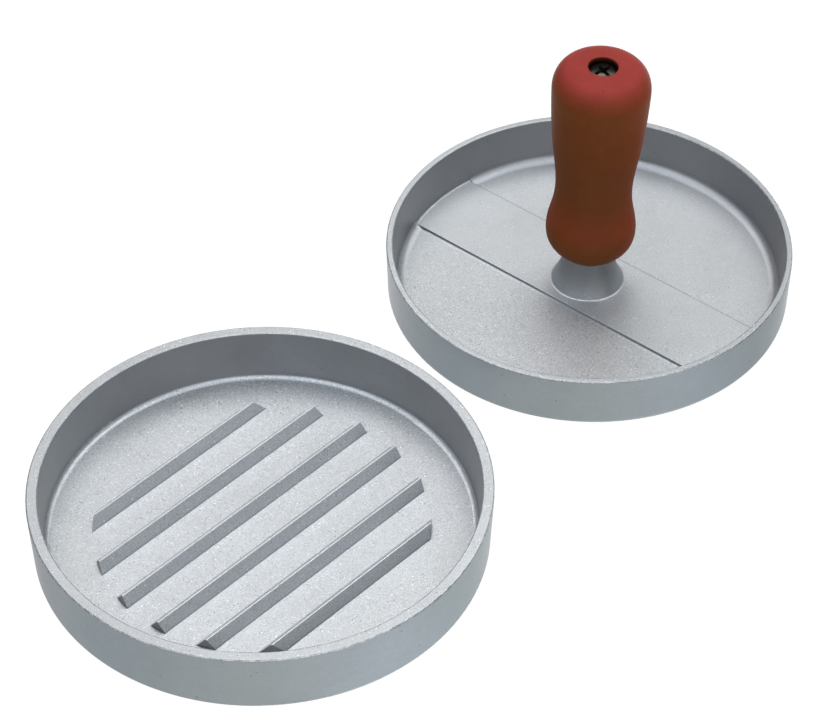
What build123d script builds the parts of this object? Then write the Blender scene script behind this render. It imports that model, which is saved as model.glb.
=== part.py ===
from build123d import *
import os

# Burger press: a cast dish with six raised ridges, and a press plate with a
# turned handle held on by one long screw. Both stand on the table side by
# side. Origin: the middle of the dish's underside, +Z up, millimetres.

# ---------------------------------------------------------------- dish
DISH_R_RIM = 60.0        # outer radius at the rim
DISH_R_FOOT = 59.1       # outer radius where the wall meets the underside
DISH_H = 18.4            # full height
DISH_WALL = 3.0          # wall thickness at the rim
DISH_R_FLOOR = 56.2      # inner radius at floor level, the wall leans outward
DISH_FLOOR = 3.05        # floor thickness
DISH_FILLET = 1.5        # inner corner between floor and wall
FOOT_FILLET = 1.5        # outer corner under both castings
RIM_EDGE = 0.45          # rounding of the rim edges

# ridges on the dish floor: triangular bars, all trimmed to one circle
RIDGE_N = 6
RIDGE_PITCH = 13.08      # centre to centre
RIDGE_DIR = 46.6         # degrees from +X, along the bars
RIDGE_FRONT = 2.3        # foot of the front flank from the bar's middle line
RIDGE_BACK = 2.35        # foot of the back flank
RIDGE_TOP = 0.1          # crest's middle, a little behind the bar's middle line
RIDGE_H = 2.8            # height above the floor
RIDGE_CREST = 0.36       # width of the crest before it is rounded
RIDGE_ROUND = 0.3        # rounding of the crest
RIDGE_TRIM_R = 43.8      # trim circle at the floor
RIDGE_TRIM_R_TOP = 43.7  # trim circle at the crest, the ends lean a little inward

# ---------------------------------------------------------------- press plate
PRESS_X, PRESS_Y = 88.18, 96.78   # middle of the press plate beside the dish
PLATE_R_RIM = 56.5
PLATE_R_FOOT = 56.0
PLATE_H = 15.9
PLATE_WALL = 1.83
PLATE_R_FLOOR = 53.3     # inner radius at floor level
PLATE_FLOOR = 2.3        # thickness of the two outer fields
PLATE_FILLET = 2.6       # soft inner corner of the outer fields
STRIP_TOP = 2.98         # thickness of the raised middle strip
STRIP_W = 24.54          # width of the strip
STRIP_OFF = -0.19        # its middle line, across from the boss's axis
STRIP_EDGE_NEAR = 0.1    # rounding of its long edges, front and back
STRIP_EDGE_FAR = 0.25
STRIP_DIR = -39.46       # degrees from +X, along the strip
STRIP_FILLET = 0.5       # small inner corner at the strip's ends

# boss under the handle
BOSS_R_BASE = 10.13
BOSS_R_MID, BOSS_Z_MID = 8.10, 7.6
BOSS_R_TOP = 6.65
BOSS_TOP = 13.0
BOSS_FOOT_FILLET = 0.5

# handle and screw share one axis, which leans slightly to +X
LEAN = 1.33              # degrees
HANDLE_LEN = 64.8
HANDLE_BORE_R = 2.35
HEAD_SEAT_R = 4.03       # counterbore for the screw head
HEAD_SINK = 1.25         # head top below the handle's end
HEAD_R = 3.72
HEAD_T = 2.4
RECESS_TURN = -11        # degrees the cross recess is turned
SCREW_R = 2.0            # M4
SCREW_LEN = 70.0         # under the head
THREAD_LEN = 22.0
THREAD_PITCH = 0.7
THREAD_CORE_R = 1.62
TAPPED_R = 2.06          # wall of the tapped hole, over the thread crests
TAPPED_BOTTOM = 3.3      # floor of the tapped hole above the table

os.makedirs("parts", exist_ok=True)


def section(points, rounds):
    """Closed section from (radius, height) points; rounds lists
    (index of the point, radius) for the corners that are rounded."""
    face = make_face(Polyline(*[(r, z) for r, z in points], close=True))
    for i, rad in rounds:
        r, z = points[i]
        v = sorted(face.vertices(), key=lambda q: (q.X - r) ** 2 + (q.Y - z) ** 2)[0]
        face = fillet(v, rad)
    return face


def lathe(sk):
    """Spin a section drawn as X = radius, Y = height about the Z axis."""
    return revolve(Plane.XZ * sk, Axis.Z, 360)


# ---------------------------------------------------------------- base_dish
dish_pts = [
    (0, 0),
    (DISH_R_FOOT, 0),
    (DISH_R_RIM, DISH_H),
    (DISH_R_RIM - DISH_WALL, DISH_H),
    (DISH_R_FLOOR, DISH_FLOOR),
    (0, DISH_FLOOR),
]
dish = lathe(
    section(dish_pts, [(1, FOOT_FILLET), (2, RIM_EDGE), (3, RIM_EDGE * 0.8), (4, DISH_FILLET)])
)

# section of one bar: its flanks run on 0.8 below the floor, and leave it
# exactly RIDGE_FRONT and RIDGE_BACK from the bar's middle line
kf = (RIDGE_FRONT + RIDGE_TOP - RIDGE_CREST / 2) / RIDGE_H
kb = (RIDGE_BACK - RIDGE_TOP - RIDGE_CREST / 2) / RIDGE_H
ridge_sec = [
    (-RIDGE_FRONT - 0.8 * kf, -0.8),
    (RIDGE_TOP - RIDGE_CREST / 2, RIDGE_H),
    (RIDGE_TOP + RIDGE_CREST / 2, RIDGE_H),
    (RIDGE_BACK + 0.8 * kb, -0.8),
]
t = (RIDGE_TRIM_R - RIDGE_TRIM_R_TOP) / RIDGE_H
trim = lathe(
    section(
        [
            (0, DISH_FLOOR - 0.8),
            (RIDGE_TRIM_R + 0.8 * t, DISH_FLOOR - 0.8),
            (RIDGE_TRIM_R_TOP - 1.0 * t, DISH_FLOOR + RIDGE_H + 1.0),
            (0, DISH_FLOOR + RIDGE_H + 1.0),
        ],
        [],
    )
)
bar_face = section(ridge_sec, [(1, RIDGE_ROUND), (2, RIDGE_ROUND)])
for i in range(RIDGE_N):
    off = (i - (RIDGE_N - 1) / 2) * RIDGE_PITCH
    # section drawn across the bar, then drawn out along it
    bar = extrude(Plane.YZ * bar_face, 60, both=True)
    bar = Pos(0, 0, DISH_FLOOR) * Rot(0, 0, RIDGE_DIR) * Pos(0, off, 0) * bar
    dish = dish + (bar & trim)
export_step(dish, "parts/base_dish.step")

# ---------------------------------------------------------------- press_plate
wall_slope = (PLATE_R_RIM - PLATE_WALL - PLATE_R_FLOOR) / (PLATE_H - PLATE_FLOOR)
plate_pts = [
    (0, 0),
    (PLATE_R_FOOT, 0),
    (PLATE_R_RIM, PLATE_H),
    (PLATE_R_RIM - PLATE_WALL, PLATE_H),
    (PLATE_R_FLOOR, PLATE_FLOOR),
    (0, PLATE_FLOOR),
]
plate = lathe(
    section(plate_pts, [(1, FOOT_FILLET), (2, RIM_EDGE), (3, RIM_EDGE * 0.8), (4, PLATE_FILLET)])
)
strip_at = Rot(0, 0, STRIP_DIR) * Pos(0, STRIP_OFF, 0)
slab = strip_at * Box(140, STRIP_W, 8, align=(Align.CENTER, Align.CENTER, Align.MIN))
block = Pos(0, 0, 1.0) * Cylinder(
    54.2, STRIP_TOP + 0.6 - 1.0, align=(Align.CENTER, Align.CENTER, Align.MIN)
)
plate = plate + (slab & block)
# clear the strip's top down to its own level, with a small corner at its ends
r_at = lambda z: PLATE_R_FLOOR + wall_slope * (z - PLATE_FLOOR) - 0.03
clear = lathe(
    section(
        [(0, STRIP_TOP), (r_at(STRIP_TOP), STRIP_TOP), (r_at(7.9), 7.9), (0, 7.9)],
        [(1, STRIP_FILLET)],
    )
)
plate = plate - (slab & clear)
# round the strip's two long edges
inner = lathe(
    make_face(
        Polyline(
            (0, STRIP_TOP - 0.6), (r_at(STRIP_TOP) - STRIP_FILLET, STRIP_TOP - 0.6),
            (r_at(STRIP_TOP) - STRIP_FILLET, STRIP_TOP + 0.6), (0, STRIP_TOP + 0.6), close=True,
        )
    )
)
for side, e in ((-1, STRIP_EDGE_NEAR), (1, STRIP_EDGE_FAR)):
    y = side * STRIP_W / 2
    corner = make_face(
        Wire(
            [
                Line((y - side * e, STRIP_TOP), (y - side * e, STRIP_TOP + 0.4)),
                Line((y - side * e, STRIP_TOP + 0.4), (y, STRIP_TOP + 0.4)),
                Line((y, STRIP_TOP + 0.4), (y, STRIP_TOP - e)),
                ThreePointArc(
                    (y, STRIP_TOP - e),
                    (y - side * 0.2929 * e, STRIP_TOP - 0.2929 * e),
                    (y - side * e, STRIP_TOP),
                ),
            ]
        )
    )
    plate = plate - (strip_at * extrude(Plane.YZ * corner, 70, both=True) & inner)

boss_line = [
    Line((0, STRIP_TOP - 1.0), (12.0, STRIP_TOP - 1.0)),
    Line((12.0, STRIP_TOP - 1.0), (12.0, STRIP_TOP)),
    Line((12.0, STRIP_TOP), (BOSS_R_BASE, STRIP_TOP)),
    ThreePointArc(
        (BOSS_R_BASE, STRIP_TOP), (BOSS_R_MID, BOSS_Z_MID), (BOSS_R_TOP, BOSS_TOP + 0.3)
    ),
    Line((BOSS_R_TOP, BOSS_TOP + 0.3), (BOSS_R_TOP, BOSS_TOP + 2)),
    Line((BOSS_R_TOP, BOSS_TOP + 2), (0, BOSS_TOP + 2)),
    Line((0, BOSS_TOP + 2), (0, STRIP_TOP - 1.0)),
]
boss_face = make_face(Wire(boss_line))
v = sorted(
    boss_face.vertices(), key=lambda q: (q.X - BOSS_R_BASE) ** 2 + (q.Y - STRIP_TOP) ** 2
)[0]
boss_face = fillet(v, BOSS_FOOT_FILLET)
boss = lathe(boss_face)
# everything on the screw's axis is drawn about +Z from the boss's top, then leaned
seat = Pos(0, 0, BOSS_TOP) * Rot(0, LEAN, 0)
boss = boss - seat * Box(60, 60, 20, align=(Align.CENTER, Align.CENTER, Align.MIN))
plate = plate + boss
plate = plate - seat * Pos(0, 0, TAPPED_BOTTOM - BOSS_TOP) * Cylinder(
    TAPPED_R, 30, align=(Align.CENTER, Align.CENTER, Align.MIN)
)
plate = Pos(PRESS_X, PRESS_Y, 0) * plate
export_step(plate, "parts/press_plate.step")

# ---------------------------------------------------------------- handle
# (radius, height above the boss) of the turned outside
handle_outside = [
    (6.30, 0.0),
    (7.05, 0.28),
    (8.80, 1.92),
    (10.35, 3.45),
    (11.60, 5.20),
    (12.32, 7.40),
    (12.45, 9.60),
    (12.12, 12.80),
    (11.35, 16.30),
    (10.72, 20.50),
    (10.62, 25.50),
    (11.24, 32.00),
    (12.12, 38.30),
    (12.75, 44.70),
    (13.12, 50.50),
    (13.36, 56.00),
    (13.30, 58.80),
    (12.75, 60.90),
    (11.65, 62.75),
    (10.20, 63.90),
    (8.60, 64.40),
    (6.40, 64.68),
    (HEAD_SEAT_R + 0.45, HANDLE_LEN),
]
outline = Spline(*handle_outside[1:])
seat_floor = HANDLE_LEN - HEAD_SINK - HEAD_T
handle_face = make_face(
    Wire(
        [
            Line((HANDLE_BORE_R, 0), handle_outside[0]),
            Line(handle_outside[0], handle_outside[1]),
            outline,
            Line(handle_outside[-1], (HEAD_SEAT_R, HANDLE_LEN - 0.06)),
            Line((HEAD_SEAT_R, HANDLE_LEN - 0.06), (HEAD_SEAT_R, seat_floor)),
            Line((HEAD_SEAT_R, seat_floor), (HANDLE_BORE_R, seat_floor)),
            Line((HANDLE_BORE_R, seat_floor), (HANDLE_BORE_R, 0)),
        ]
    )
)
handle = Pos(PRESS_X, PRESS_Y, 0) * seat * lathe(handle_face)
export_step(handle, "parts/handle.step")

# ---------------------------------------------------------------- handle_screw
head_top = HANDLE_LEN - HEAD_SINK
head_under = head_top - HEAD_T
tip = head_under - SCREW_LEN
pts = [(0, tip), (THREAD_CORE_R - 0.25, tip), (THREAD_CORE_R, tip + 0.3)]
z = tip + 0.3
n_thread = int(THREAD_LEN / THREAD_PITCH)
for i in range(n_thread):
    pts += [
        (THREAD_CORE_R, z + 0.06),
        (SCREW_R, z + 0.31),
        (SCREW_R, z + 0.40),
        (THREAD_CORE_R, z + 0.65),
    ]
    z += THREAD_PITCH
pts += [
    (THREAD_CORE_R, z + 0.1),
    (SCREW_R - 0.12, z + 0.5),
    (SCREW_R - 0.12, head_under),
    (HEAD_R, head_under),
    (HEAD_R, head_under + HEAD_T * 0.62),
]
screw_edges = [
    Polyline(*pts),
    # low domed top of the head
    Spline(
        pts[-1],
        (HEAD_R * 0.86, head_under + HEAD_T * 0.875),
        (HEAD_R * 0.5, head_under + HEAD_T * 0.97),
        (0, head_top),
        tangents=[(0, 1), (-1, 0)],
    ),
    Line((0, head_top), (0, tip)),
]
screw = lathe(make_face(Wire(screw_edges[0].edges() + [screw_edges[1].edge(), screw_edges[2].edge()])))
# cross recess, arms near the diagonals, tapering toward the middle
for ang in (45 + RECESS_TURN, 135 + RECESS_TURN):
    arm = make_face(
        Polyline((-2.75, head_top + 1), (-2.55, head_top - 0.35), (-1.05, head_top - 1.75),
                 (1.05, head_top - 1.75), (2.55, head_top - 0.35), (2.75, head_top + 1), close=True)
    )
    screw = screw - Rot(0, 0, ang) * extrude(Plane.XZ * arm, 0.56, both=True)
screw = screw - Pos(0, 0, head_top - 1.95) * Cone(0.75, 1.35, 3.2, align=(Align.CENTER, Align.CENTER, Align.MIN))
screw = Pos(PRESS_X, PRESS_Y, 0) * seat * screw
export_step(screw, "parts/handle_screw.step")
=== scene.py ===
import math

import bpy
from mathutils import Matrix, Vector

# Looks of the burger press: two blasted aluminium castings, a turned handle
# with a dull red-brown stain, and the black head of its long screw.

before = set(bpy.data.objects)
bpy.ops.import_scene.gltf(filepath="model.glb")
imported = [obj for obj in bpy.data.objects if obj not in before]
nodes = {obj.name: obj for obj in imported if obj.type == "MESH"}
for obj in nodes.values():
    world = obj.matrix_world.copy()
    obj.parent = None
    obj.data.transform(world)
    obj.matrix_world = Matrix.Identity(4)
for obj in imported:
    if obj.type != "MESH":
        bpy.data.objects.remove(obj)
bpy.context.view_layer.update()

# places on the object, in metres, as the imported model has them
DISH_AT = Vector((0.0, 0.0, 0.0))
PRESS_AT = Vector((0.08818, 0.09678, 0.0))
LEAN = math.radians(1.33)
BOSS_TOP = 0.0130
HANDLE_LEN = 0.0648


# ------------------------------------------------------------ node helpers
class Tree:
    """Short calls for building a shader tree. A socket or a number may stand
    for every input."""

    def __init__(self, tree):
        self.t = tree
        self.t.nodes.clear()

    def add(self, kind, **props):
        n = self.t.nodes.new(kind)
        for k, v in props.items():
            setattr(n, k, v)
        return n

    def put(self, value, socket):
        if isinstance(value, bpy.types.NodeSocket):
            self.t.links.new(value, socket)
        elif socket.type == "RGBA" and len(value) == 3:
            socket.default_value = (*value, 1.0)
        else:
            socket.default_value = value

    def m(self, op, a, b=None, c=None, clamp=False):
        n = self.add("ShaderNodeMath", operation=op, use_clamp=clamp)
        for i, x in enumerate((a, b, c)):
            if x is not None:
                self.put(x, n.inputs[i])
        return n.outputs[0]

    def v(self, op, a, b=None, out="Vector"):
        n = self.add("ShaderNodeVectorMath", operation=op)
        self.put(a, n.inputs[0])
        if b is not None:
            self.put(b, n.inputs["Scale"] if op == "SCALE" else n.inputs[1])
        return n.outputs[out]

    def xyz(self, v):
        n = self.add("ShaderNodeSeparateXYZ")
        self.put(v, n.inputs[0])
        return n.outputs

    def vec(self, x, y, z):
        n = self.add("ShaderNodeCombineXYZ")
        for i, a in enumerate((x, y, z)):
            self.put(a, n.inputs[i])
        return n.outputs[0]

    def ramp(self, x, lo, hi, a=0.0, b=1.0, smooth=True):
        """x from lo to hi mapped to a..b, held at both ends."""
        n = self.add(
            "ShaderNodeMapRange", interpolation_type="SMOOTHSTEP" if smooth else "LINEAR"
        )
        for i, q in enumerate((x, lo, hi, a, b)):
            self.put(q, n.inputs[i])
        return n.outputs[0]

    def mix(self, f, a, b):
        n = self.add("ShaderNodeMix", data_type="RGBA")
        self.put(f, n.inputs[0])
        self.put(a, n.inputs[6])
        self.put(b, n.inputs[7])
        return n.outputs[2]

    def tint(self, a, k):
        """Colour a times the grey factor k."""
        n = self.add("ShaderNodeVectorMath", operation="SCALE")
        self.put(a, n.inputs[0])
        self.put(k, n.inputs["Scale"])
        return n.outputs[0]

    def noise(self, v, scale, detail=2.0, rough=0.5, w=None, distortion=0.0):
        n = self.add("ShaderNodeTexNoise", noise_dimensions="3D" if w is None else "4D")
        self.put(v, n.inputs["Vector"])
        if w is not None:
            n.inputs["W"].default_value = w
        n.inputs["Scale"].default_value = scale
        n.inputs["Detail"].default_value = detail
        n.inputs["Roughness"].default_value = rough
        n.inputs["Distortion"].default_value = distortion
        return n.outputs["Fac"]

    def cells(self, v, scale, feature="F1", out="Distance", randomness=1.0):
        n = self.add("ShaderNodeTexVoronoi", feature=feature)
        self.put(v, n.inputs["Vector"])
        n.inputs["Scale"].default_value = scale
        n.inputs["Randomness"].default_value = randomness
        return n.outputs[out]

    def bump(self, height, strength, distance, normal=None):
        n = self.add("ShaderNodeBump")
        self.put(height, n.inputs["Height"])
        self.put(strength, n.inputs["Strength"])
        n.inputs["Distance"].default_value = distance
        if normal is not None:
            self.put(normal, n.inputs["Normal"])
        return n.outputs["Normal"]


def new_material(name):
    mat = bpy.data.materials.new(name)
    mat.use_nodes = True
    return mat, Tree(mat.node_tree)


def finish_material(t, colour, rough, normal, **fixed):
    bsdf = t.add("ShaderNodeBsdfPrincipled")
    t.put(colour, bsdf.inputs["Base Color"])
    t.put(rough, bsdf.inputs["Roughness"])
    t.put(normal, bsdf.inputs["Normal"])
    for k, x in fixed.items():
        bsdf.inputs[k.replace("_", " ")].default_value = x
    out = t.add("ShaderNodeOutputMaterial")
    t.t.links.new(bsdf.outputs[0], out.inputs["Surface"])


def local_mm(t, at):
    """Surface point in millimetres from `at`, and the object-space normal."""
    tc = t.add("ShaderNodeTexCoord")
    p = t.v("SCALE", t.v("SUBTRACT", tc.outputs["Object"], tuple(at)), 1000.0)
    return p, tc.outputs["Normal"]


# ------------------------------------------------------------ cast aluminium
# Both castings: grit-blasted on every face that looks up, smoother on the walls,
# which take a darker copy of the colour as painted shade. Thin lines of painted
# shade sit where the raised bars and the strip meet a floor, and the fillet at the foot of the back wall is a little
# rougher and carries a faint painted highlight.
BARS = dict(n=6, pitch=13.08, way=46.6, front=2.3, back=2.35, trim=43.8, floor=3.05, top=2.8)
STRIP = dict(way=-39.46, near=-12.46, far=12.08, floor=2.3, top=2.98)
GRAIN = 0.52
FLOOR_COLOUR = (0.570, 0.613, 0.657)
# walls: the same aluminium painted darker, painted shade
WALL_SHADED_COLOUR = (0.300, 0.322, 0.343)
INNER_TINT = (1.05, 1.00, 0.96)
BOSS_TINT = (0.97, 0.92, 0.87)


def aluminium(name, at, seed, rim_r, height, floor_r, floor_z, bars=None, strip=None):
    mat, t = new_material(name)
    p, nrm = local_mm(t, at)
    x, y, z = t.xyz(p)
    up = t.xyz(nrm)[2]
    r = t.m("SQRT", t.m("ADD", t.m("MULTIPLY", x, x), t.m("MULTIPLY", y, y)))
    q = t.v("ADD", p, (13.7 * seed, -7.1 * seed, 3.3 * seed))

    # faces that look up get the grit grain and the lighter colour; walls get the darker colour as painted shade
    blasted_and_lit = t.ramp(up, 0.20, 0.62)          # floors, rim, bars, fillets
    fine = t.noise(q, 3.4, 1.0, 0.6)
    finer = t.noise(q, 6.5, 0.0, 0.5)
    coarse = t.noise(q, 1.25, 3.0, 0.6)
    blotch = t.noise(q, 0.055, 3.0, 0.55)
    cast = t.noise(q, 0.35, 4.0, 0.6)

    # grit marks: a light and dark grain, with single bright and dark grains
    grain = t.m("ADD", t.m("MULTIPLY", t.m("SUBTRACT", fine, 0.5), 1.45),
                t.m("MULTIPLY", t.m("SUBTRACT", finer, 0.5), 0.7))
    grain = t.m("ADD", grain, t.m("MULTIPLY", t.m("SUBTRACT", coarse, 0.5), 0.3))
    cell = t.add("ShaderNodeTexVoronoi", feature="F1")
    t.put(q, cell.inputs["Vector"])
    cell.inputs["Scale"].default_value = 1.9
    pick = t.xyz(cell.outputs["Color"])[0]
    near = t.ramp(cell.outputs["Distance"], 0.20, 0.44, 1.0, 0.0)
    spark = t.m("MULTIPLY", t.ramp(pick, 0.90, 0.99), near)
    pit = t.m("MULTIPLY", t.ramp(pick, 0.09, 0.01), near)
    grain = t.m("ADD", grain, t.m("MULTIPLY", spark, 1.0))
    grain = t.m("SUBTRACT", grain, t.m("MULTIPLY", pit, 0.85))
    patchy = t.ramp(t.noise(q, 0.16, 2.0, 0.5), 0.35, 0.65, 0.8, 1.2)
    if bars:
        patchy = t.m("MULTIPLY", patchy, t.ramp(r, 40.0, 46.0, 1.10, 1.20))
        patchy = t.m("MULTIPLY", patchy, t.ramp(y, 36.0, 50.0, 1.0, 1.3))
        patchy = t.m("MULTIPLY", patchy, t.ramp(z, height - 1.0, height - 0.4, 1.0, 0.86))
    else:
        far = t.m("ADD", t.m("MULTIPLY", x, 0.36), t.m("MULTIPLY", y, 0.93))
        patchy = t.m("MULTIPLY", patchy, t.ramp(far, -42.0, 26.0, 1.4, 0.52))
    gain = t.m("MULTIPLY", t.ramp(blasted_and_lit, 0.0, 1.0, 0.14, 1.0, smooth=False), patchy)
    shade = t.m("ADD", 1.0, t.m("MULTIPLY", t.m("MULTIPLY", grain, gain), GRAIN))
    shade = t.m("MULTIPLY", shade, t.ramp(blotch, 0.25, 0.75, 0.97, 1.03))
    shade = t.m("MULTIPLY", shade, t.ramp(cast, 0.25, 0.75, 0.985, 1.015))

    # a few small pits in the outer walls
    hole = t.add("ShaderNodeTexVoronoi", feature="F1")
    t.put(q, hole.inputs["Vector"])
    hole.inputs["Scale"].default_value = 0.42
    some = t.ramp(t.xyz(hole.outputs["Color"])[1], 0.80, 0.84)
    hole = t.m("MULTIPLY", t.ramp(hole.outputs["Distance"], 0.14, 0.06), some)
    hole = t.m("MULTIPLY", hole, t.ramp(up, 0.4, 0.2))
    shade = t.m("MULTIPLY", shade, t.m("SUBTRACT", 1.0, t.m("MULTIPLY", hole, 0.30)))

    # rim: painted shade and light from side to side; its rounded edges carry painted shade over their highlight and
    # the outer edge a painted highlight, both broken into bits
    top_z = t.ramp(z, height - 0.6, height - 0.3)
    rim = t.m("MULTIPLY", top_z, t.ramp(up, 0.55, 0.85))
    if bars:
        painted_light_tone = t.m("MULTIPLY", t.ramp(x, -50.0, 35.0, 0.91, 1.03), t.ramp(y, -30.0, -50.0, 1.0, 0.965))
    else:
        painted_light_tone = t.ramp(x, -50.0, 15.0, 1.04, 0.86)
    shade = t.m("MULTIPLY", shade, t.m("ADD", 1.0, t.m("MULTIPLY", rim, t.m("SUBTRACT", painted_light_tone, 1.0))))
    bits = t.noise(q, 0.8, 4.0, 0.75)
    # painted shade over the highlight of the rounded rim edges, stronger at the front
    rim_edge_shade = t.m("MULTIPLY", top_z, t.m("MULTIPLY", t.ramp(up, 0.99, 0.965), t.ramp(up, 0.70, 0.80)))
    rim_edge_shade = t.m("MULTIPLY", rim_edge_shade, t.ramp(bits, 0.40, 0.60, 0.36, 0.08))
    if bars:
        rim_edge_shade = t.m("MULTIPLY", rim_edge_shade, t.ramp(y, -18.0, -46.0, 1.0, 1.6))
    # painted highlight on the outer rounding of the rim, stronger to the right
    rim_edge_highlight = t.m("MULTIPLY", top_z, t.ramp(r, rim_r - 0.5, rim_r - 0.3))
    rim_edge_highlight = t.m("MULTIPLY", rim_edge_highlight, t.m("MULTIPLY", t.ramp(up, 0.72, 0.55), t.ramp(up, 0.0, 0.15)))
    rim_edge_highlight = t.m("MULTIPLY", rim_edge_highlight, t.ramp(bits, 0.38, 0.62, 0.18, 0.95))
    rim_edge_highlight = t.m("MULTIPLY", rim_edge_highlight, t.ramp(x, 5.0, 45.0, 1.0, 1.6))
    shade = t.m("MULTIPLY", shade, t.m("ADD", t.m("SUBTRACT", 1.0, rim_edge_shade), rim_edge_highlight))

    # painted highlight: the fillet at the foot of the back wall is lightened a little (and made a little rougher
    # below)
    bend = t.m("MULTIPLY", t.ramp(up, 0.995, 0.955), t.ramp(up, 0.50, 0.68))
    bend = t.m("MULTIPLY", bend, t.m("MULTIPLY", t.ramp(r, floor_r - 3.0, floor_r - 2.2), t.ramp(z, floor_z + 2.4, floor_z + 1.8)))
    bend = t.m("MULTIPLY", bend, t.ramp(y, 8.0, 40.0))
    shade = t.m("MULTIPLY", shade, t.m("ADD", 1.0, t.m("MULTIPLY", bend, 0.06)))

    # painted light and shade on floors and walls from place to place: each floor, inner wall and outer wall lighter
    # or darker by side
    floor_m = t.m("MULTIPLY", t.ramp(up, 0.97, 0.99), t.ramp(z, floor_z + 1.2, floor_z + 0.9))
    inward = t.m("MULTIPLY", t.ramp(up, 0.35, 0.20), t.ramp(r, rim_r - 0.9, rim_r - 1.2))
    inward = t.m("MULTIPLY", inward, t.ramp(r, floor_r - 4.0, floor_r - 2.0))
    outward = t.m("MULTIPLY", t.ramp(up, 0.35, 0.20), t.ramp(r, rim_r - 1.5, rim_r - 1.2))
    if bars:
        painted_light_tone = t.m("MULTIPLY", t.ramp(y, 39.0, 50.0, 1.0, 0.91), t.ramp(x, 20.0, 50.0, 1.0, 1.03))
        shade = t.m("MULTIPLY", shade, t.m("ADD", 1.0, t.m("MULTIPLY", floor_m, t.m("SUBTRACT", painted_light_tone, 1.0))))
        painted_light_tone = t.m("MULTIPLY", t.ramp(x, -52.0, -56.5, 1.0, 1.09), t.ramp(y, 48.0, 55.0, 1.0, 1.04))
        shade = t.m("MULTIPLY", shade, t.m("ADD", 1.0, t.m("MULTIPLY", inward, t.m("SUBTRACT", painted_light_tone, 1.0))))
        painted_light_tone = t.m("MULTIPLY", t.ramp(x, -44.0, -57.0, 1.0, 0.73), t.ramp(y, -45.0, -55.0, 1.0, 0.97))
    else:
        painted_light_tone = t.m("MULTIPLY", t.ramp(x, 25.0, -42.0, 0.985, 1.055), t.ramp(y, -5.0, -38.0, 1.0, 1.03))
        shade = t.m("MULTIPLY", shade, t.m("ADD", 1.0, t.m("MULTIPLY", floor_m, t.m("SUBTRACT", painted_light_tone, 1.0))))
        way = t.m("DIVIDE", t.m("SUBTRACT", t.m("MULTIPLY", y, 0.97), t.m("MULTIPLY", x, 0.24)), r)
        painted_light_tone = t.ramp(way, 0.82, 0.97, 1.0, 1.18)
        painted_light_tone = t.m("MULTIPLY", painted_light_tone, t.m("MULTIPLY", t.ramp(x, -12.0, 4.0, 1.0, 1.08), t.ramp(x, 34.0, 52.0, 1.0, 0.88)))
        left = t.m("MULTIPLY", t.ramp(x, -38.0, -50.0), t.ramp(z, floor_z + 7.0, floor_z + 1.0))
        painted_light_tone = t.m("MULTIPLY", painted_light_tone, t.m("SUBTRACT", 1.0, t.m("MULTIPLY", left, 0.16)))
        shade = t.m("MULTIPLY", shade, t.m("ADD", 1.0, t.m("MULTIPLY", inward, t.m("SUBTRACT", painted_light_tone, 1.0))))
        painted_light_tone = t.m("MULTIPLY", t.ramp(x, -44.0, -54.0, 1.0, 0.92), t.ramp(x, 15.0, 40.0, 1.0, 0.965))
    # painted shade: the outer wall darker at its foot
    painted_light_tone = t.m("MULTIPLY", painted_light_tone, t.ramp(z, 1.7, 0.5, 1.0, 0.76))
    shade = t.m("MULTIPLY", shade, t.m("ADD", 1.0, t.m("MULTIPLY", outward, t.m("SUBTRACT", painted_light_tone, 1.0))))

    painted_shade_lines = None
    if bars:
        a = math.radians(bars["way"])
        s = t.m("SUBTRACT", t.m("MULTIPLY", y, math.cos(a)), t.m("MULTIPLY", x, math.sin(a)))
        half = bars["n"] * bars["pitch"] / 2
        s = t.m("MINIMUM", t.m("MAXIMUM", s, -half + 0.01), half - 0.01)
        w = t.m("SUBTRACT", t.m("MODULO", t.m("ADD", s, half + 10 * bars["pitch"]), bars["pitch"]), bars["pitch"] / 2)
        within = t.ramp(r, bars["trim"] + 0.35, bars["trim"] + 0.05)
        h = t.m("SUBTRACT", z, bars["floor"])
        low = t.ramp(h, 0.55, 0.05)
        # painted shade: bar flanks darker towards the foot, lighter towards the crest
        flank = t.m("MULTIPLY", t.ramp(up, 0.96, 0.80), t.ramp(r, 50.0, 48.0))
        flank = t.m("MULTIPLY", flank, t.ramp(h, 3.2, 3.0))
        fade = t.m("MULTIPLY", t.ramp(h, 0.10, 0.50, 0.68, 0.95), t.ramp(h, 0.5, 2.6, 1.0, 1.14, smooth=False))
        shade = t.m("MULTIPLY", shade, t.m("ADD", 1.0, t.m("MULTIPLY", flank, t.m("SUBTRACT", fade, 1.0))))
        # painted shade: thin dark lines on the floor in front of and behind each bar
        flat = t.m("MULTIPLY", t.ramp(up, 0.96, 0.985), t.ramp(h, 0.3, 0.1))
        before = t.m("SUBTRACT", -bars["front"], w)      # floor in front of a bar
        before = t.m("MULTIPLY", t.ramp(before, 1.5, 0.0), t.ramp(before, -0.2, 0.0))
        behind = t.m("ABSOLUTE", t.m("SUBTRACT", w, bars["back"] + 0.17))
        behind = t.ramp(behind, 0.17, 0.04)
        lines = t.m("ADD", t.m("MULTIPLY", before, 0.055), t.m("MULTIPLY", behind, 0.40))
        lines = t.m("MULTIPLY", t.m("MULTIPLY", lines, flat), within)
        wide = t.m("MULTIPLY", t.ramp(w, -bars["front"] - 0.15, -bars["front"] + 0.1), t.ramp(w, bars["back"] + 0.15, bars["back"] - 0.1))
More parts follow.
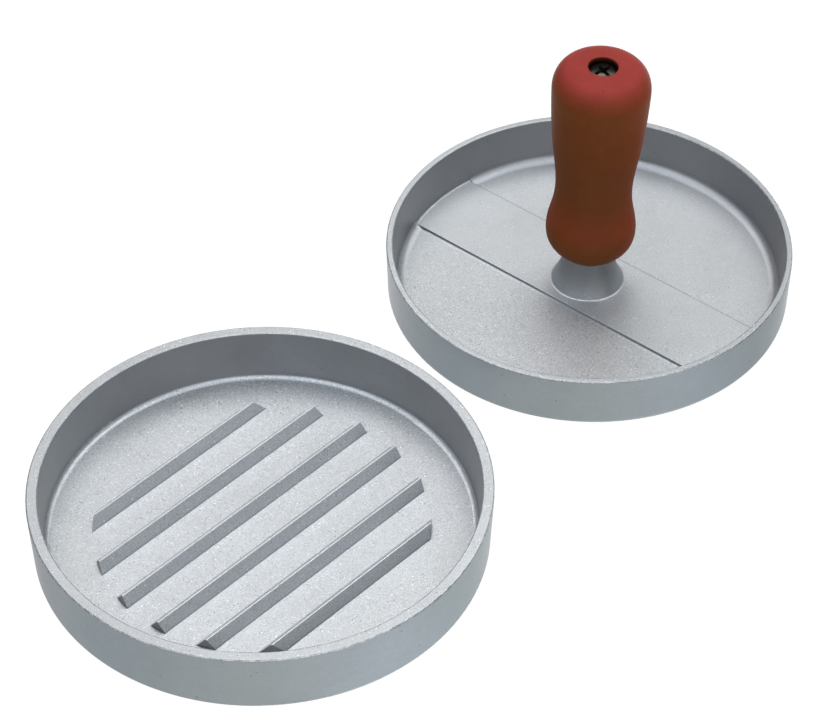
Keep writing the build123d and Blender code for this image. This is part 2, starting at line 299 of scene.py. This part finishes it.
        # painted shadow on the floor at the ends of the bars
        end = t.m("ABSOLUTE", t.m("SUBTRACT", r, bars["trim"] + 0.12))
        end = t.m("MULTIPLY", t.m("MULTIPLY", t.ramp(end, 0.28, 0.04), wide), low)
        painted_shade_lines = t.m("MAXIMUM", lines, t.m("MULTIPLY", end, 0.30))
    if strip:
        a = math.radians(strip["way"])
        s = t.m("SUBTRACT", t.m("MULTIPLY", y, math.cos(a)), t.m("MULTIPLY", x, math.sin(a)))
        inside = t.m("MULTIPLY", t.ramp(r, 53.2, 52.6), t.ramp(z, strip["top"] + 0.25, strip["top"] + 0.08))
        # painted shade on the near riser and along the far edge of the raised strip
        riser = t.m("ABSOLUTE", t.m("SUBTRACT", s, strip["near"] - 0.03))
        riser = t.ramp(riser, 0.16, 0.06)
        riser = t.m("MULTIPLY", riser, t.ramp(z, strip["top"] + 0.0, strip["top"] - 0.14))
        back = t.m("ABSOLUTE", t.m("SUBTRACT", s, strip["far"] - 0.14))
        back = t.ramp(back, 0.34, 0.08)
        painted_shade_lines = t.m("ADD", t.m("MULTIPLY", riser, 0.22), t.m("MULTIPLY", back, 0.40))
        # painted highlight: a light line on the floor in front of the riser, broken by noise
        painted_halo = t.m("ABSOLUTE", t.m("SUBTRACT", s, strip["near"] - 0.72))
        painted_halo = t.m("MULTIPLY", t.ramp(painted_halo, 0.5, 0.1), t.ramp(bits, 0.35, 0.6, 0.10, 0.20))
        painted_shade_lines = t.m("MULTIPLY", t.m("SUBTRACT", painted_shade_lines, painted_halo), inside)
    shade = t.m("MULTIPLY", shade, t.m("SUBTRACT", 1.0, painted_shade_lines))

    # a warmer cast inside the walls, a plain grey on the boss
    inner = t.m("MULTIPLY", t.ramp(r, rim_r - 0.9, rim_r - 1.2), t.ramp(z, floor_z + 0.3, floor_z + 2.0))
    wall = t.mix(inner, WALL_SHADED_COLOUR, tuple(c * k for c, k in zip(WALL_SHADED_COLOUR, INNER_TINT)))
    if strip:
        boss = t.m("MULTIPLY", t.ramp(r, 15.0, 13.0), t.ramp(z, strip["top"] + 0.05, strip["top"] + 0.5))
        wall = t.mix(boss, wall, tuple(c * k for c, k in zip(WALL_SHADED_COLOUR, BOSS_TINT)))
    # painted shade: walls take the darker colour, faces that look up the lighter one
    base = t.mix(blasted_and_lit, wall, FLOOR_COLOUR)
    colour = t.tint(base, shade)
    rough = t.m("ADD", 0.5, t.m("MULTIPLY", t.m("SUBTRACT", coarse, 0.5), 0.15))
    rough = t.m("ADD", rough, t.m("MULTIPLY", bend, 0.04 if bars else 0.12))

    height_map = t.m("ADD", t.m("MULTIPLY", fine, gain), t.m("MULTIPLY", cast, 0.25))
    height_map = t.m("SUBTRACT", height_map, t.m("MULTIPLY", hole, 2.0))
    normal = t.bump(height_map, 0.6, 0.00004)
    finish_material(t, colour, rough, normal, Metallic=1.0)
    return mat


def handle_stain(name):
    mat, t = new_material(name)
    p, nrm = local_mm(t, PRESS_AT + Vector((0, 0, BOSS_TOP)))
    x, y, z = t.xyz(p)
    up = t.xyz(nrm)[2]
    q = t.v("MULTIPLY", p, (1.0, 1.0, 0.12))
    streak = t.noise(q, 1.6, 3.0, 0.55)
    mottle = t.noise(p, 0.16, 3.0, 0.5)
    # painted light and shade: faces that look up take a lit rosy red; the sides take darker browns, darker still low
    # down, at the left and at the back, and redder at the right
    top = t.ramp(up, 0.03, 0.90, smooth=False)
    low = t.ramp(z, 14.0, 3.0)
    side = t.mix(t.ramp(z, 38.0, 27.0), (0.186, 0.0508, 0.0118), (0.192, 0.0545, 0.0146))
    side = t.mix(t.ramp(x, -2.0, -9.0), side, (0.182, 0.0500, 0.0094))
    side = t.mix(low, side, (0.158, 0.0478, 0.0092))
    side = t.mix(t.ramp(x, 3.0, 12.0), side, (0.240, 0.0530, 0.0140))
    side = t.mix(t.ramp(y, 2.0, 9.0), side, (0.150, 0.0400, 0.0170))
    colour = t.mix(top, side, (0.302, 0.0415, 0.0350))
    shade = t.m("MULTIPLY", t.ramp(streak, 0.3, 0.7, 0.97, 1.03), t.ramp(mottle, 0.3, 0.7, 0.96, 1.04))
    # a small dent in the front of the shoulder, bumped in and darkened as painted shade
    dent = t.v("MULTIPLY", t.v("SUBTRACT", p, (1.0, -9.6, 64.1)), (2.2, 0.8, 0.8))
    dent = t.ramp(t.v("LENGTH", dent, out="Value"), 0.42, 0.16)
    shade = t.m("MULTIPLY", shade, t.m("SUBTRACT", 1.0, t.m("MULTIPLY", dent, 0.6)))
    # painted shade: the counterbore darkens inside with depth, and its edge is a little ragged
    cx = t.m("SUBTRACT", x, math.sin(LEAN) * HANDLE_LEN * 1000)
    rb = t.m("SQRT", t.m("ADD", t.m("MULTIPLY", cx, cx), t.m("MULTIPLY", y, y)))
    ragged = t.m("ADD", rb, t.m("MULTIPLY", t.m("SUBTRACT", t.noise(p, 1.7, 3.0, 0.7), 0.5), 0.5))
    bore = t.m("MULTIPLY", t.ramp(ragged, 4.30, 4.10), t.ramp(z, 58.0, 60.0))
    deep = t.ramp(z, 64.5, 63.5, 0.55, 0.06)
    shade = t.m("MULTIPLY", shade, t.m("ADD", t.m("SUBTRACT", 1.0, bore), t.m("MULTIPLY", bore, deep)))
    colour = t.tint(colour, shade)
    rough = t.ramp(streak, 0.3, 0.7, 0.57, 0.63)
    height_map = t.m("SUBTRACT", t.m("MULTIPLY", t.noise(p, 4.0, 2.0, 0.5), 0.3), dent)
    normal = t.bump(height_map, 0.25, 0.00005)
    finish_material(t, colour, rough, normal, IOR=1.45, Specular_IOR_Level=0.12)
    return mat


def black_head(name):
    mat, t = new_material(name)
    p, nrm = local_mm(t, PRESS_AT + Vector((0, 0, BOSS_TOP)))
    y = t.xyz(p)[1]
    speck = t.noise(p, 3.0, 3.0, 0.6)
    # painted light and shade: the front of the head is painted grey and the back left black, broken by speckle
    head_painted_light = t.m("MULTIPLY", t.ramp(speck, 0.35, 0.70, 0.5, 1.0), t.ramp(y, 0.8, -3.0, 0.0, 1.0))
    colour = t.mix(head_painted_light, (0.016, 0.016, 0.015), (0.230, 0.240, 0.205))
    rough = t.ramp(speck, 0.3, 0.7, 0.34, 0.50)
    normal = t.bump(speck, 0.5, 0.00004)
    finish_material(t, colour, rough, normal, Metallic=0.8)
    return mat


def dress(node, mat):
    me = nodes[node].data
    me.materials.clear()
    me.materials.append(mat)


dress("base_dish", aluminium("dish_aluminium", DISH_AT, 1.0, 60.0, 18.4, 56.2, 3.05, bars=BARS))
dress("press_plate", aluminium("plate_aluminium", PRESS_AT, 2.3, 56.5, 15.9, 53.3, 2.3, strip=STRIP))
dress("handle", handle_stain("handle_stain"))
dress("handle_screw", black_head("screw_black"))


# ------------------------------------------------------------ floor and light
def make_floor():
    """A flat disc that curves up into a far wall, all one plain white."""
    rings = [(0.0, 0.0)]
    rings += [(0.1 * 1.45**i, 0.0) for i in range(9)]
    reach = rings[-1][0]
    bend = 1.2
    for i in range(1, 9):
        a = math.pi / 2 * i / 8
        rings.append((reach + bend * math.sin(a), bend * (1 - math.cos(a))))
    rings.append((reach + bend, 4.0))
    seg = 96
    verts, faces = [(0.0, 0.0, 0.0)], []
    for rr, zz in rings[1:]:
        for k in range(seg):
            a = 2 * math.pi * k / seg
            verts.append((rr * math.cos(a), rr * math.sin(a), zz))
    for k in range(seg):
        faces.append((0, 1 + k, 1 + (k + 1) % seg))
    for i in range(len(rings) - 2):
        b0, b1 = 1 + i * seg, 1 + (i + 1) * seg
        for k in range(seg):
            k2 = (k + 1) % seg
            faces.append((b0 + k, b1 + k, b1 + k2, b0 + k2))
    me = bpy.data.meshes.new("floor")
    me.from_pydata(verts, [], faces)
    me.shade_smooth()
    ob = bpy.data.objects.new("floor", me)
    bpy.context.scene.collection.objects.link(ob)
    return ob


floor = make_floor()
mat, t = new_material("floor_white")
tc = t.add("ShaderNodeTexCoord")
wall = t.ramp(t.xyz(tc.outputs["Object"])[2], 0.0, 1.2)
bsdf = t.add("ShaderNodeBsdfDiffuse")
bsdf.inputs[0].default_value = (0.12, 0.12, 0.12, 1.0)
glow = t.add("ShaderNodeEmission")
glow.inputs[0].default_value = (1.0, 1.0, 1.0, 1.0)
t.put(t.m("ADD", 0.95, t.m("MULTIPLY", wall, 0.05)), glow.inputs[1])
both = t.add("ShaderNodeAddShader")
t.t.links.new(bsdf.outputs[0], both.inputs[0])
t.t.links.new(glow.outputs[0], both.inputs[1])
out = t.add("ShaderNodeOutputMaterial")
t.t.links.new(both.outputs[0], out.inputs["Surface"])
floor.data.materials.append(mat)
floor.visible_diffuse = False
floor.visible_glossy = False
floor.visible_shadow = False

# Soft studio light as one smooth surround. Each row is one glow: its angle from
# straight up, its heading from +X, how narrow it is, and its strength.
SURROUND = [
    (20, 90, 24, (3.179, 3.019, 2.899)),
    (36, 18, 24, (3.624, 3.625, 3.617)),
    (46, 300, 24, (2.322, 2.114, 2.092)),
    (46, 210, 24, (1.943, 1.920, 1.904)),
    (36, 162, 24, (1.390, 1.394, 1.443)),
    (46, 270, 24, (1.485, 1.508, 1.558)),
    (36, 126, 24, (1.301, 1.106, 1.003)),
    (36, 234, 24, (0.988, 1.059, 1.126)),
    (20, 135, 24, (0.469, 0.568, 0.621)),
    (36, 54, 24, (0.842, 0.859, 0.734)),
    (108, 90, 12, (2.788, 2.821, 2.808)),
    (46, 240, 24, (0.499, 0.515, 0.557)),
    (108, 64, 12, (2.754, 2.702, 2.662)),
    (90, 310, 12, (0.610, 0.792, 0.809)),
    (20, 45, 24, (0.121, 0.136, 0.160)),
    (36, 270, 24, (0.038, 0.038, 0.051)),
    (128, 126, 12, (1.272, 1.208, 1.214)),
    (72, 315, 24, (0.046, 0.035, 0.035)),
    (150, 330, 12, (1.627, 1.760, 1.873)),
    (150, 30, 12, (1.669, 1.779, 1.756)),
    (128, 234, 12, (0.574, 0.542, 0.545)),
    (128, 270, 12, (0.505, 0.560, 0.482)),
    (150, 210, 12, (0.685, 0.737, 0.759)),
    (150, 270, 12, (0.739, 0.716, 0.672)),
    (128, 198, 12, (0.319, 0.405, 0.408)),
    (150, 150, 12, (0.554, 0.544, 0.544)),
    (128, 162, 12, (0.263, 0.320, 0.335)),
    (128, 306, 12, (0.282, 0.245, 0.213)),
]


def surround(rows):
    world = bpy.context.scene.world or bpy.data.worlds.new("soft_studio")
    bpy.context.scene.world = world
    world.use_nodes = True
    t = Tree(world.node_tree)
    tc = t.add("ShaderNodeTexCoord")
    d = t.v("NORMALIZE", tc.outputs["Generated"])
    total = None
    for tilt, heading, narrow, colour in rows:
        a, b = math.radians(tilt), math.radians(heading)
        way = (math.sin(a) * math.cos(b), math.sin(a) * math.sin(b), math.cos(a))
        k = t.m("MAXIMUM", t.v("DOT_PRODUCT", d, way, out="Value"), 0.0)
        c = t.tint(tuple(colour), t.m("POWER", k, narrow))
        total = c if total is None else t.v("ADD", total, c)
    bg = t.add("ShaderNodeBackground")
    t.put(total, bg.inputs[0])
    bg.inputs[1].default_value = 1.0
    out = t.add("ShaderNodeOutputWorld")
    t.t.links.new(bg.outputs[0], out.inputs[0])


surround(SURROUND)

# ------------------------------------------------------------ camera
PITCH = math.radians(43.273)
ROLL = math.radians(-0.091)
right = Vector((1, 0, 0))
ahead = Vector((0, math.cos(PITCH), -math.sin(PITCH)))
over = right.cross(ahead)
rx = right * math.cos(ROLL) + over * math.sin(ROLL)
ux = -right * math.sin(ROLL) + over * math.cos(ROLL)
at = Vector((0.038454, -0.578047, 0.604941))
cam_data = bpy.data.cameras.new("view")
cam_data.sensor_width = 36.0
cam_data.lens = 141.06
cam = bpy.data.objects.new("view", cam_data)
bpy.context.scene.collection.objects.link(cam)
cam.matrix_world = Matrix(
    (
        (rx.x, ux.x, -ahead.x, at.x),
        (rx.y, ux.y, -ahead.y, at.y),
        (rx.z, ux.z, -ahead.z, at.z),
        (0, 0, 0, 1),
    )
)
bpy.context.scene.camera = cam
cam_data.clip_start, cam_data.clip_end = 0.02, 50.0

vs = bpy.context.scene.view_settings
vs.view_transform = "Standard"
vs.look = "None"
vs.exposure = 0.0
vs.gamma = 1.0

bpy.context.view_layer.update()
